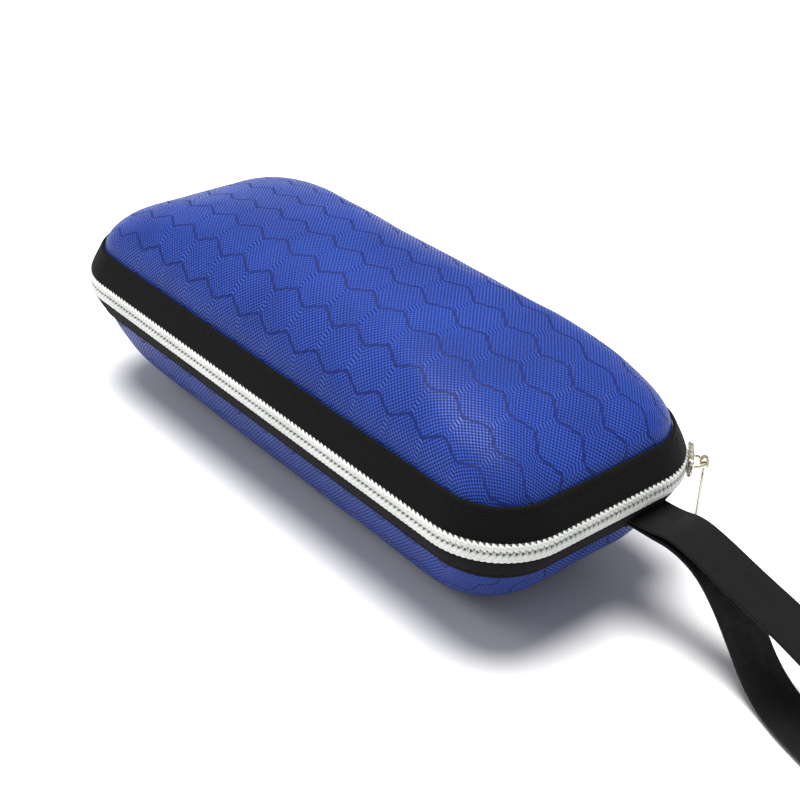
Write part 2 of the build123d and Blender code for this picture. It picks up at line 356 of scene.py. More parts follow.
def paint_ribbon():
    """Satin ribbon: fine ribs across its width and a firm selvedge, with painted shade between the ribs and
    yarns.
    """
    paint = Paint("black_ribbon")
    flat = paint.flat()
    u, v, _ = paint.split(flat)
    ribs = paint.wave(u, 0.42)
    yarns = paint.wave(v, 0.44)
    slub = paint.noise(flat, 0.35, 3.0)
    height = paint.math("MULTIPLY_ADD", yarns, 0.3, ribs)
    height = paint.math("MULTIPLY_ADD", slub, 1.2, height)
    # Painted shade: darker between the ribs and yarns and lighter on their crowns; the slub adds random
    # tone.
    shade = paint.ramp(height, -0.6, 1.9)
    paint.link("Base Color", paint.colours(shade, (0.0018, 0.0018, 0.002), (0.006, 0.006, 0.0065)))
    paint.link("Roughness", paint.ramp(slub, 0.3, 0.7, 0.42, 0.6))
    paint.set("Specular IOR Level", 0.12)
    paint.set("Sheen Weight", 0.04)
    paint.set("Sheen Roughness", 0.4)
    paint.bump(height, 0.05)
    return paint.material


def paint_thread(name, colour, light):
    """Twisted sewing thread, with painted shade in the grooves of its twist."""
    paint = Paint(name)
    flat = paint.flat()
    u, v, _ = paint.split(flat)
    ply = paint.wave(paint.math("ADD", u, v), 0.35)
    # Painted shade: darker in the grooves between the plies and lighter on their crowns.
    shade = paint.ramp(ply, -0.8, 0.8)
    paint.link("Base Color", paint.colours(shade, colour, light))
    paint.link("Roughness", paint.ramp(ply, -1.0, 1.0, 0.85, 0.75))
    paint.set("Specular IOR Level", 0.1)
    paint.bump(ply, 0.04)
    return paint.material


def paint_coil():
    """White nylon monofilament, a little translucent, with faint handling marks."""
    paint = Paint("white_coil")
    flat = paint.flat()
    marks = paint.noise(flat, 0.08, 4.0)
    fine = paint.noise(flat, 2.5, 2.0)
    shade = paint.ramp(marks, 0.35, 0.62)
    paint.link("Base Color", paint.colours(shade, (0.54, 0.56, 0.53), (0.62, 0.63, 0.61)))
    paint.link("Roughness", paint.ramp(fine, 0.3, 0.7, 0.3, 0.45))
    paint.set("Subsurface Weight", 0.12)
    paint.set("Subsurface Radius", (0.0006, 0.0006, 0.0006))
    paint.bump(fine, 0.02)
    return paint.material


def paint_metal():
    """Pale gold plating, worn to grey on the edges."""
    paint = Paint("pale_gold_metal")
    place = paint.node("TexCoord").outputs["Object"]
    fine = paint.noise(place, 900.0, 4.0)
    broad = paint.noise(place, 260.0, 3.0)
    worn = paint.ramp(paint.node("NewGeometry").outputs["Pointiness"], 0.52, 0.62)
    colour = paint.colours(paint.ramp(broad, 0.35, 0.7), (0.70, 0.62, 0.42), (0.80, 0.74, 0.56))
    paint.link("Base Color", paint.colours(worn, colour, (0.72, 0.71, 0.68)))
    paint.link("Roughness", paint.ramp(fine, 0.3, 0.7, 0.18, 0.34))
    paint.set("Metallic", 1.0)
    paint.bump(fine, 0.015)
    return paint.material


def paint_foam():
    """Closed-cell foam, seen only at its cut edges, with painted shade in its cell pits."""
    paint = Paint("black_foam")
    place = paint.node("TexCoord").outputs["Object"]
    cells = paint.node("TexVoronoi", place)
    cells.inputs["Scale"].default_value = 1400.0
    # Painted shade: darker in the sunken middle of each cell and lighter on the cell walls.
    shade = paint.ramp(cells.outputs["Distance"], 0.1, 0.6)
    paint.link("Base Color", paint.colours(shade, (0.008, 0.008, 0.009), (0.03, 0.03, 0.033)))
    paint.link("Roughness", paint.ramp(shade, 0.0, 1.0, 0.95, 0.8))
    paint.bump(shade, 0.1)
    return paint.material


def paint_folds():
    """The edges of folded ribbon inside the slit, with painted shade between the layers."""
    paint = Paint("black_folded_ribbon")
    place = paint.vector("MULTIPLY", paint.node("TexCoord").outputs["Object"], (1 / MM, 1 / MM, 1 / MM))
    layers = paint.wave(paint.split(place)[2], 0.45)
    fuzz = paint.noise(place, 2.2, 3.0)
    height = paint.math("MULTIPLY_ADD", fuzz, 0.8, layers)
    # Painted shade: darker between the folded layers and lighter on their edges; the fuzz adds random tone.
    shade = paint.ramp(height, -0.6, 1.4)
    paint.link("Base Color", paint.colours(shade, (0.002, 0.002, 0.002), (0.009, 0.009, 0.0095)))
    paint.link("Roughness", paint.ramp(fuzz, 0.3, 0.7, 0.6, 0.8))
    paint.bump(height, 0.06)
    return paint.material


# ---------------------------------------------------------------- mesh tools

def add_mesh(name, points, faces, material, flat):
    """points in millimetres; flat holds each vertex's cloth coordinates."""
    mesh = bpy.data.meshes.new(name)
    mesh.from_pydata([Vector(p) * MM for p in points], [], faces)
    layer = mesh.uv_layers.new(name="flat")
    for corner in mesh.loops:
        layer.data[corner.index].uv = flat[corner.vertex_index]
    mesh.materials.append(material)
    work = bmesh.new()
    work.from_mesh(mesh)
    bmesh.ops.recalc_face_normals(work, faces=work.faces)
    work.to_mesh(mesh)
    work.free()
    for face in mesh.polygons:
        face.use_smooth = True
    made = bpy.data.objects.new(name, mesh)
    bpy.context.scene.collection.objects.link(made)
    return made


def strip(count, size, closed=False, offset=0):
    """Quads between a count of rings of size points, numbered in order; closed joins last to first."""
    faces = []
    for i in range(count if closed else count - 1):
        here = offset + i * size
        there = offset + (i + 1) % count * size
        for j in range(size):
            k = (j + 1) % size
            faces.append((here + j, here + k, there + k, there + j))
    return faces


def caps(count, size, offset=0):
    """The two faces that close such a strip's ends."""
    last = offset + (count - 1) * size
    return [tuple(offset + i for i in reversed(range(size))), tuple(last + i for i in range(size))]


def sweep(name, runs, sections, to_point, closed, material):
    """A tube of sections, one at each run; to_point(index, *spot) says where a section's spot lies."""
    points, flat = [], []
    for index, (run, section) in enumerate(zip(runs, sections)):
        travelled = 0.0
        previous = section[0]
        for spot in section:
            travelled += math.hypot(spot[0] - previous[0], spot[1] - previous[1])
            previous = spot
            points.append(to_point(index, *spot))
            flat.append((run, travelled))
    count, size = len(sections), len(sections[0])
    faces = strip(count, size, closed)
    if not closed:
        faces += caps(count, size)
    return add_mesh(name, points, faces, material, flat)


def stand_in(piece, body, node):
    """Puts a piece on a body, in place of a CAD node."""
    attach(piece, body)
    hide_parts(node)


# ---------------------------------------------------------------- the rim's line

def outline(run):
    """Point and outward normal of the case's outline, counter-clockwise from the rear middle."""
    run = run % PERIMETER
    x, y = STRAIGHT_X, STRAIGHT_Y
    pieces = [
        ("line", x, (0, HALF_WIDTH), (-1, 0), (0, 1)),
        ("arc", QUARTER, (-x, y), 90, None),
        ("line", 2 * y, (-HALF_LENGTH, y), (0, -1), (-1, 0)),
        ("arc", QUARTER, (-x, -y), 180, None),
        ("line", 2 * x, (-x, -HALF_WIDTH), (1, 0), (0, -1)),
        ("arc", QUARTER, (x, -y), 270, None),
        ("line", 2 * y, (HALF_LENGTH, -y), (0, 1), (1, 0)),
        ("arc", QUARTER, (x, y), 0, None),
        ("line", x, (x, HALF_WIDTH), (-1, 0), (0, 1)),
    ]
    for kind, length, start, heading, normal in pieces:
        if run <= length:
            break
        run -= length
    if kind == "line":
        return start[0] + heading[0] * run, start[1] + heading[1] * run, normal[0], normal[1]
    angle = math.radians(heading) + run / CORNER
    nx, ny = math.cos(angle), math.sin(angle)
    return start[0] + CORNER * nx, start[1] + CORNER * ny, nx, ny


def at_rim(run, inset, height, direction):
    """A point inset from the outline and height above the zipper, or below it for direction -1."""
    x, y, nx, ny = outline(run)
    return x - nx * inset, y - ny * inset, ZIP_HEIGHT + direction * height


def band_face(height):
    return 0.6 + 0.475 * (height - BAND_START)


def fabric_face(height):
    return band_face(height) + BAND + TAPE


def inner_face(height):
    return fabric_face(height) + WALL + BINDING


def along(first, last, step):
    """Evenly spaced values, about step apart."""
    count = max(2, round((last - first) / step))
    return [first + (last - first) * i / count for i in range(count + 1)]


def rim_sweep(name, section, direction, first, last, step, material):
    """section(run) gives a closed loop of (inset, height) points at each place of the rim."""
    closed = last - first > PERIMETER - 0.01
    runs = along(first, last, step)
    if closed:
        runs = runs[:-1]

    def to_point(index, inset, height):
        return at_rim(runs[index], inset, height, direction)
    return sweep(name, runs, [section(run) for run in runs], to_point, closed, material)


# ---------------------------------------------------------------- moulded shells

CORNER_STEPS = 20
END_STEPS = 14
SIDE_STEPS = 56
RIM_ROWS = 5
CLIMB_STEPS = 40
RIPPLE_SIZE = 17.0


def profile_levels(shape, depth):
    """Half sizes, corner radius and height of one wall surface, from the rim to the crown."""
    top_inset = fabric_face(BAND_HEIGHT) + depth
    rows = []
    for step in range(RIM_ROWS):
        height = RIM_GAP + (BAND_HEIGHT - RIM_GAP) * step / RIM_ROWS
        inset = fabric_face(height) + depth
        rows.append((HALF_LENGTH - inset, HALF_WIDTH - inset, CORNER - inset, height))
    flat_length, flat_width = shape["flat"]
    rise = shape["height"] - depth - BAND_HEIGHT
    for step in range(CLIMB_STEPS + 1):
        climb = math.sin(math.radians(90.0 * step / CLIMB_STEPS))
        left = max(0.0, 1 - climb ** shape["power"])
        half_length = flat_length + (HALF_LENGTH - top_inset - flat_length) * left ** (1 / shape["end"])
        half_width = flat_width + (HALF_WIDTH - top_inset - flat_width) * left ** (1 / shape["side"])
        corner = min(CORNER - top_inset, 0.97 * half_length, 0.97 * half_width)
        rows.append((half_length, half_width, corner, BAND_HEIGHT + rise * climb))
    return rows


def rounded_ring(half_length, half_width, corner):
    """Points and outward normals of a rounded rectangle, the same count at every size."""
    x, y = half_length - corner, half_width - corner
    ring = []
    for cx, cy, start, run_x, run_y, count in (
        (-x, y, 90, 0, -2 * y, END_STEPS),
        (-x, -y, 180, 2 * x, 0, SIDE_STEPS),
        (x, -y, 270, 0, 2 * y, END_STEPS),
        (x, y, 0, -2 * x, 0, SIDE_STEPS),
    ):
        for step in range(CORNER_STEPS):
            angle = math.radians(start + 90 * step / CORNER_STEPS)
            nx, ny = math.cos(angle), math.sin(angle)
            ring.append((cx + corner * nx, cy + corner * ny, nx, ny))
        end = math.radians(start + 90)
        nx, ny = math.cos(end), math.sin(end)
        for step in range(count):
            share = step / count
            ring.append((cx + corner * nx + run_x * share, cy + corner * ny + run_y * share, nx, ny))
    return ring


def wall_surface(shape, direction, depth, ripple):
    """One moulded surface as rings of points and their cloth coordinates, closed by a middle point.

    The cloth coordinates are the ground plan, spread by what the cloth climbs towards the rim. A
    ripple moves the lid's cloth a little in or out, and the base's only inwards, clear of the floor.
    """
    rows = profile_levels(shape, depth)
    half_length, half_width, corner, top = rows[-1]
    rows += [(half_length * s, half_width * s, corner * s, top) for s in (0.75, 0.5, 0.25)]
    end_extra, side_extra = [0.0], [0.0]
    for outer, inner in zip(reversed(rows[:-1]), reversed(rows[1:])):
        climb = outer[3] - inner[3]
        for extra, index in ((end_extra, 0), (side_extra, 1)):
            out = outer[index] - inner[index]
            extra.append(extra[-1] + math.hypot(out, climb) - out)
    end_extra.reverse()
    side_extra.reverse()
    points, flat = [], []
    for row, by_end, by_side in zip(rows, end_extra, side_extra):
        half_length, half_width, corner, height = row
        swell = min(1.0, max(0.0, (height - BAND_HEIGHT) / 4.0))
        for x, y, nx, ny in rounded_ring(half_length, half_width, corner):
            z = ZIP_HEIGHT + direction * height
            push = 0.0
            if ripple:
                spot = Vector((x, y, z)) / RIPPLE_SIZE
                push = swell * (0.28 * noise.noise(spot) + 0.12 * noise.noise(spot * 2.3))
                if direction < 0:
                    push = min(push, 0.0) * min(1.0, z / 3.0)
            points.append((x + nx * push, y + ny * push, z + direction * push * 0.4))
            flat.append((x + nx * by_end, y + ny * by_side))
    points.append((0, 0, ZIP_HEIGHT + direction * top))
    flat.append((0, 0))
    return points, flat


def wall_layer(name, shape, direction, outer, inner, material, ripple=False):
    """A closed shell between two moulded surfaces of one half."""
    size = 4 * CORNER_STEPS + 2 * END_STEPS + 2 * SIDE_STEPS
    points, flat, faces = [], [], []
    for depth, rippled in ((outer, ripple), (inner, False)):
        offset = len(points)
        surface, cloth = wall_surface(shape, direction, depth, rippled)
        points += surface
        flat += cloth
        centre = len(points) - 1
        rings = (centre - offset) // size
        last = offset + (rings - 1) * size
        faces += strip(rings, size, False, offset)
        faces += [(last + i, last + (i + 1) % size, centre) for i in range(size)]
    faces += [(i, (i + 1) % size, offset + (i + 1) % size, offset + i) for i in range(size)]
    return add_mesh(name, points, faces, material, flat)


# ---------------------------------------------------------------- rim pieces

STITCH_PITCH = 2.7
STITCH_HEIGHT = 7.2
THREAD_SIDES = 8
COIL_SIDES = 10
COIL_MARGIN = 1.0
COIL_INSET = 0.12
COIL_SEAM = 1.45
TUCK = 0.3
TUCK_RUN = 9.0


def edge_wave(run, direction):
    """How far the band's sewn edge wanders, as hand-fed binding does."""
    spot = Vector((run / 9.0, 3.7 * direction, 0.0))
    wave = 0.24 * noise.noise(spot) + 0.10 * noise.noise(spot * 3.1)
    seam = min(run % PERIMETER, PERIMETER - run % PERIMETER)
    return wave * min(1.0, seam / 6.0)


def band_section(direction):
    """The binding: a puffed face, a dip at each stitch, and the two folded edges."""
    def section(run):
        wave = edge_wave(run, direction)
        pull = math.cos(TAU * run / STITCH_PITCH)
        loop = []
        for height, puff in (
            (2.15, -0.42), (2.10, -0.14), (2.22, 0.10), (2.6, 0.24), (3.4, 0.30), (4.4, 0.30),
            (5.4, 0.26), (6.3, 0.20), (6.8, 0.15), (STITCH_HEIGHT, 0.06 - 0.03 * pull),
            (7.6, 0.11), (8.0, 0.12), (8.3, 0.02), (8.45, -0.24),
        ):
            share = max(0.0, (height - 6.0) / 2.4)
            lifted = height + wave * share
            loop.append((band_face(lifted) - puff, lifted))
        for height, inset in ((8.42, 0.62), (7.6, 0.72), (6.6, 0.6), (4.4, 0.6), (2.4, 0.6)):
            loop.append((band_face(height) + inset, height))
        return loop
    return section


def along_rim_capsule(run, length, inset, height, radius, direction, sink, lean=0.0):
    """A short thread lying along the rim, its ends sunk into the cloth."""
    points = []
    for step in range(7):
        share = step / 6 * 2 - 1
        arch = 1 - abs(share) ** 3
        size = radius * max(0.3, math.sqrt(max(0.0, 1 - share ** 6)))
        for corner in range(THREAD_SIDES):
            angle = TAU * corner / THREAD_SIDES
            points.append(at_rim(
                run + share * length / 2,
                inset + sink * (1 - arch) - size * math.cos(angle),
                height + lean * share + size * math.sin(angle),
                direction,
            ))
    return points


def many_tubes(name, tubes, ring_size, material):
    """One mesh of many closed tubes, each a list of ring points."""
    points, faces, flat = [], [], []
    for tube in tubes:
        offset = len(points)
        count = len(tube) // ring_size
        faces += strip(count, ring_size, False, offset)
        faces += caps(count, ring_size, offset)
        points += tube
        start = Vector(tube[0])
        for index, point in enumerate(tube):
            flat.append(((Vector(point) - start).length + offset * 0.01, index % ring_size * 0.15))
    return add_mesh(name, points, faces, material, flat)


def band_stitches(direction):
    """The row of stitches all round one binding."""
    tubes = []
    count = round(PERIMETER / STITCH_PITCH)
    for index in range(count):
        run = (index + 0.5) * PERIMETER / count
        height = STITCH_HEIGHT + edge_wave(run, direction) * 0.5
        tubes.append(along_rim_capsule(
            run, 1.9, band_face(height) - 0.07, height, 0.13, direction, sink=0.3))
    return tubes


def rear_tuck(run):
    """How far the ends of the zipper are drawn in, so that they clear each other when the lid is open."""
    return TUCK * max(0.0, 1 - min(run - ZIP_END, PERIMETER - ZIP_END - run) / TUCK_RUN)


def coil_runs(direction):
    """The places of one coil's turns, half a pitch apart on the two halves."""
    first = ZIP_END + COIL_MARGIN
    count = int((PERIMETER - ZIP_END - COIL_MARGIN - first) / COIL_PITCH)
    shift = 0.5 if direction < 0 else 0.0
    return [first + (index + shift) * COIL_PITCH for index in range(count)]


def coil_half(direction):
    """Every visible leg of one coil, as (height, inset, half width, half depth) along the leg.

    Its outer turn is pointed on the lid's half and round on the base's, and it narrows where it
    meets the other half.
    """
    pointed = [
        (2.40, 0.46, 0.05, 0.07), (2.20, 0.36, 0.17, 0.16),
        (1.98, 0.25, 0.34, 0.24), (1.7, 0.15, 0.58, 0.29),
    ]
    rounded = [
        (2.40, 0.46, 0.16, 0.10), (2.30, 0.34, 0.50, 0.20),
        (2.05, 0.20, 0.74, 0.28), (1.7, 0.13, 0.84, 0.30),
    ]
    stations = (pointed if direction > 0 else rounded) + [
        (1.3, 0.11, 0.84, 0.30), (0.8, 0.13, 0.82, 0.29), (0.5, 0.22, 0.56, 0.28),
        (0.2, 0.38, 0.34, 0.26), (-0.1, 0.52, 0.32, 0.24), (-0.26, 0.62, 0.20, 0.18),
    ]
    tubes = []
    for run in coil_runs(direction):
        tube = []
        for height, inset, half_run, half_depth in stations:
            for corner in range(COIL_SIDES):
                angle = TAU * corner / COIL_SIDES
                tube.append(at_rim(
                    run + COIL_SLANT * height + half_run * math.sin(angle),
                    inset - half_depth * math.cos(angle) + COIL_INSET + rear_tuck(run),
                    height,
                    direction,
                ))
        tubes.append(tube)
    return tubes


def coil_stitches(direction):
    """The sewing thread that holds a coil to its tape, one bead on each leg."""
    tubes = []
    for run in coil_runs(direction):
        tubes.append(along_rim_capsule(
            run + COIL_SLANT * COIL_SEAM, 0.9, -0.02 + rear_tuck(run), COIL_SEAM, 0.07, direction,
            sink=0.25, lean=0.05))
    return tubes


def tape_section(run):
    """The tape, the same at every run: a lip behind the coil and a flat part behind the binding."""
    outer = band_face(BAND_START) + BAND
    return [
        (0.74, 0.42), (0.66, 0.6), (0.66, 2.1), (0.74, 2.3), (outer, 2.36), (outer, 2.4),
        (band_face(4.9) + BAND, 4.9), (band_face(7.4) + BAND, 7.4),
        (band_face(7.4) + BAND + TAPE, 7.4), (band_face(4.9) + BAND + TAPE, 4.9),
        (outer + TAPE, 2.4), (outer + TAPE, 0.42),
    ]


def inner_binding_section(run):
    """The binding's fold over the rim, down to the lining."""
    pad = 0.12 * noise.noise(Vector((run / 7.0, 9.0, 0.0)))
    edge = RIM_GAP - BINDING
    top = 8.0 + pad
    return [
        (fabric_face(edge) + 0.1, edge + 0.1), (fabric_face(RIM_GAP), RIM_GAP),
        (fabric_face(RIM_GAP) + WALL, RIM_GAP), (fabric_face(5.5) + WALL, 5.5),
        (fabric_face(top) + WALL, top), (inner_face(top) - 0.2, top + 0.12),
        (inner_face(7.6) + 0.05, 7.5), (inner_face(7.0) - 0.12, 7.0), (inner_face(5.5) + 0.1, 5.5),
        (inner_face(4.0) + 0.1, 4.0), (inner_face(3.1), 3.0), (inner_face(edge) - 0.3, edge),
        (fabric_face(edge) + 2.2, edge - 0.05),
    ]


def hinge_sheet(name, heights_faces, thickness, material):
    """A strip that bridges both halves along the rear, curved over the hinge."""
    columns = along(-HINGE_HALF_LENGTH, HINGE_HALF_LENGTH, 1.0)
    loop = heights_faces + [(inset + thickness, height) for inset, height in reversed(heights_faces)]
    frays = [0.08 * noise.noise(Vector((x / 5.0, thickness, 0.0))) for x in columns]

    def to_point(index, inset, height):
        fray = frays[index] * height / HINGE_END
        return columns[index], HALF_WIDTH - inset, ZIP_HEIGHT + height + fray
    return sweep(name, columns, [loop] * len(columns), to_point, False, material)


# ---------------------------------------------------------------- slider and pull

def slider_place(out, side, up):
    """A point in the slider's own frame: outward, along the zipper and up."""
    cosine, sine = math.cos(PARK_ANGLE), math.sin(PARK_ANGLE)
    x = STRAIGHT_X + (CORNER + out) * cosine - side * sine
    y = STRAIGHT_Y + (CORNER + out) * sine + side * cosine
    return x, y, ZIP_HEIGHT + up


def plate(outline_points, low, high, rim=0.25):
    """A chamfered plate between two levels of out, as rings of slider points."""
    middle_side, middle_up = [sum(values) / len(values) for values in zip(*outline_points)]
    rings = []
    for out, share in ((low, 0.0), (low, 0.9), (low + rim * 0.5, 1.0), (high - rim, 1.0),
                       (high - rim * 0.3, 0.965), (high, 0.88), (high, 0.0)):
        ring = []
        for side, up in outline_points:
            ring.append(slider_place(
                out, middle_side + (side - middle_side) * share, middle_up + (up - middle_up) * share))
        rings.append(ring)
    return rings


def smooth_loop(corners, rounds):
    """A polygon with rounded corners, as (side, up) points."""
    steps = 6
    result = []
    count = len(corners)
    for index, (corner, size) in enumerate(zip(corners, rounds)):
        here = Vector(corner)
        before = (Vector(corners[index - 1]) - here).normalized()
        after = (Vector(corners[(index + 1) % count]) - here).normalized()
        start, end = here + before * size, here + after * size
        for step in range(steps + 1):
            t = step / steps
            result.append(tuple(start * (1 - t) ** 2 + here * 2 * t * (1 - t) + end * t * t))
    return result


def metal_mesh(name, points, faces, material):
    """A mesh that is no cloth, with plain coordinates in place of a cloth's."""
    flat = [(point[0] + point[1], point[2]) for point in points]
    return add_mesh(name, points, faces, material, flat)


def rings_mesh(name, groups, material):
    """One mesh of several closed bodies, each a list of rings."""
    points, faces = [], []
    for rings in groups:
        offset = len(points)
        count, size = len(rings), len(rings[0])
        faces += strip(count, size, False, offset)
        faces += caps(count, size, offset)
        for ring in rings:
            points += ring
    return metal_mesh(name, points, faces, material)


def bar(path, radius, ring):
    """A round bar along slider points (out, side, up), as rings."""
    places = [Vector(slider_place(*p)) for p in path]
    rings = []
    for index, place in enumerate(places):
        before = places[max(0, index - 1)]
        after = places[min(len(places) - 1, index + 1)]
        heading = (after - before).normalized()
        side = heading.cross(Vector((0, 0, 1)))
        if side.length < 0.05:
            side = Vector((math.cos(PARK_ANGLE), math.sin(PARK_ANGLE), 0))
        side.normalize()
        up = side.cross(heading)
        rings.append([
            tuple(place + side * radius * math.cos(TAU * i / ring) + up * radius * math.sin(TAU * i / ring))
            for i in range(ring)
        ])
    return rings


def make_slider(material):
    """The cast slider: two plates, the web between them, two lips, and the bail over the outer plate."""
    outer = smooth_loop(
        [(-3.9, -2.3), (3.9, -3.0), (3.9, 2.5), (-3.9, 1.9)], [1.3, 1.4, 1.3, 1.1])
    inner = smooth_loop(
        [(-3.6, -1.8), (3.6, -2.0), (3.6, 0.25), (-3.6, 0.25)], [0.8, 0.8, 0.1, 0.1])
    web = smooth_loop(
        [(1.2, -0.25), (3.6, -0.25), (3.6, 0.25), (1.2, 0.25)], [0.1, 0.2, 0.2, 0.1])
    groups = [plate(outer, 0.3, 1.3), plate(inner, -3.3, -2.6), plate(web, -2.6, 0.4, 0.05)]
    for level in (-1, 1):
        lip = [(0.35, -3.4 + 0.27 * i, level * (1.75 + 0.02 * i)) for i in range(26)]
        groups.append(bar(lip, 0.32, 8))
    body = rings_mesh("slider_shell", groups, material)
    stand_in(body, "slider", "slider_body")
    arch = []
    for step in range(25):
        angle = math.pi * step / 24
        side = -2.3 * math.cos(angle)
        out = 1.1 + 2.6 * min(1.0, 1.35 * math.sin(angle))
        arch.append((out, side, 0.0))
    bail = rings_mesh("slider_bail", [bar(arch, 0.5, 12)], material)
    stand_in(bail, "slider", "slider_bridge")


def make_pull(material):
    """A thin stamped tab with a rolled eye, hanging from the bridge."""
    pivot = 3.7
    circle = [(math.cos(TAU * step / 24), math.sin(TAU * step / 24)) for step in range(24)]
    eye = (
        (-1.2, 0.9), (-1.05, 1.1), (-0.6, 1.15), (0.6, 1.15), (1.05, 1.1), (1.2, 0.9),
        (1.1, 0.6), (-1.1, 0.6),
    )
    points = []
    for side, radius in eye:
        points += [slider_place(pivot + radius * c, side, radius * s) for c, s in circle]
    faces = strip(len(eye), len(circle), closed=True)

    tip = -13.85
    profile = [
        (0.8, -0.6), (1.1, -1.2), (1.4, -2.6), (1.65, -5.0), (1.9, -9.0), (2.05, -11.6),
        (1.9, -12.9), (1.4, -13.5), (0.75, -13.75), (0.0, tip),
    ]
    edge = profile + [(-side, up) for side, up in reversed(profile[:-1])]
    face = ((0.75, 0.20), (0.45, 0.30), (0.15, 0.30), (0.0, 0.22))
    levels = [(inset, -out) for inset, out in face] + [(inset, out) for inset, out in reversed(face)]
    spine = [(0.0, min(-0.9, max(up, -13.1))) for _, up in edge]
    rings = [(-face[0][1], spine)]
    for inset, out in levels:
        rings.append((out, [
            (math.copysign(max(0.0, abs(side) - inset), side), min(-0.5, max(up, tip + inset)))
            for side, up in edge
        ]))
    rings.append((face[0][1], spine))
    faces += strip(len(rings), len(edge), False, len(points))
    for out, ring in rings:
        points += [slider_place(pivot + out, side, up) for side, up in ring]
    tab = metal_mesh("pull_plate", points, faces, material)
    stand_in(tab, "pull", "pull_tab")


# ---------------------------------------------------------------- wrist strap

# In metres: the strap's length, and part.py's route with the run on the floor drifting to one side
STRAP_ROUTE = [
    (0.0787, 0.0130, 0.02345),
    (0.0835, 0.0130, 0.02345),
    (0.0892, 0.0130, 0.02510),
    (0.0964, 0.0130, 0.02370),
    (0.1060, 0.0130, 0.02090),
    (0.1180, 0.0129, 0.01820),
    (0.1320, 0.0126, 0.01360),
    (0.1455, 0.0122, 0.00820),
    (0.1590, 0.0119, 0.00420),
    (0.1735, 0.0118, 0.00290),
    (0.1870, 0.0119, 0.00560),
    (0.1980, 0.0121, 0.01200),
    (0.2080, 0.0123, 0.02000),
    (0.2170, 0.0125, 0.02670),
    (0.2254, 0.0126, 0.02650),
    (0.2321, 0.0126, 0.02150),
    (0.2347, 0.0125, 0.01350),
    (0.2320, 0.0123, 0.00560),
    (0.2252, 0.0120, 0.00070),
    (0.2120, 0.0106, 0.00060),
    (0.1960, 0.0084, 0.00110),
    (0.1790, 0.0060, 0.00060),
    (0.1610, 0.0042, 0.00120),
    (0.1440, 0.0044, 0.00060),
    (0.1300, 0.0070, 0.00120),
    (0.1205, 0.0102, 0.00090),
    (0.1136, 0.0119, 0.00380),
    (0.1082, 0.0127, 0.00960),
    (0.1030, 0.0130, 0.01580),
    (0.0974, 0.0130, 0.02100),
    (0.0906, 0.0130, 0.02310),
    (0.0843, 0.0130, 0.02255),
    (0.0787, 0.0130, 0.02255),
]


def route_points(route):
    """The points that Blender works out along the route's NURBS line."""
    curve = bpy.data.curves.new("route", "CURVE")
    curve.dimensions = "3D"
    spline = curve.splines.new("NURBS")
    spline.points.add(len(route) - 1)
    for control, place in zip(spline.points, route):
        control.co = (*place, 1.0)
    spline.order_u = 3
    spline.use_endpoint_u = True
    spline.resolution_u = 14
    holder = bpy.data.objects.new("route", curve)
    bpy.context.scene.collection.objects.link(holder)
    bpy.context.view_layer.update()
    line = bpy.data.meshes.new_from_object(holder)
    path = [vertex.co.copy() for vertex in line.vertices]
    bpy.data.objects.remove(holder)
    bpy.data.curves.remove(curve)
    bpy.data.meshes.remove(line)
    return path


def make_strap(material):
    """The ribbon: thin, with a thicker selvedge along each edge."""
    path = route_points(STRAP_ROUTE)
    half = STRAP_WIDTH / 2
    thick = STRAP_THICKNESS / 2
    section = [
        (-half, 0.0), (-half + 0.12, thick * 0.8), (-half + 0.5, thick), (-half + 0.9, thick * 0.72),
        (-half * 0.45, thick * 0.8), (0.0, thick * 0.82), (half * 0.45, thick * 0.8),
        (half - 0.9, thick * 0.72), (half - 0.5, thick), (half - 0.12, thick * 0.8), (half, 0.0),
    ]
    section += [(side, -up) for side, up in reversed(section[1:-1])]
    runs = [0.0]
    for before, after in zip(path, path[1:]):
        runs.append(runs[-1] + (after - before).length / MM)

    def to_point(index, side, rise):
        before = path[max(0, index - 1)]
        after = path[min(len(path) - 1, index + 1)]
        heading = (after - before).normalized()
        across = Vector((0, 1, 0))
        across = (across - heading * across.dot(heading)).normalized()
        up = heading.cross(across)
        return tuple((path[index] + across * side * MM + up * rise * MM) / MM)
    strap = sweep("ribbon_strap", runs, [section] * len(path), to_point, False, material)
    stand_in(strap, "base", "wrist_strap")
    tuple(STRAP_ROUTE[0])
    [tuple(p) for p in path]


def make_strap_stitches(material):
    """Two rows of short stitches on the band, above and below the slit."""
    middle = 3 * STRAIGHT_X + 3 * STRAIGHT_Y + 3 * QUARTER + STRAP_Y
    tubes = []
    count, pitch = 6, 1.9
    for level in (STRAP_DROP - STITCH_OFFSET, STRAP_DROP + STITCH_OFFSET):
        for index in range(count):
            run = middle + (index - (count - 1) / 2) * pitch
            tubes.append(along_rim_capsule(run, 1.4, band_face(level) - 0.28, level, 0.2, -1, sink=0.25))
    thread = many_tubes("strap_tack", tubes, THREAD_SIDES, material)
    stand_in(thread, "base", "strap_stitching")


# ---------------------------------------------------------------- assembly

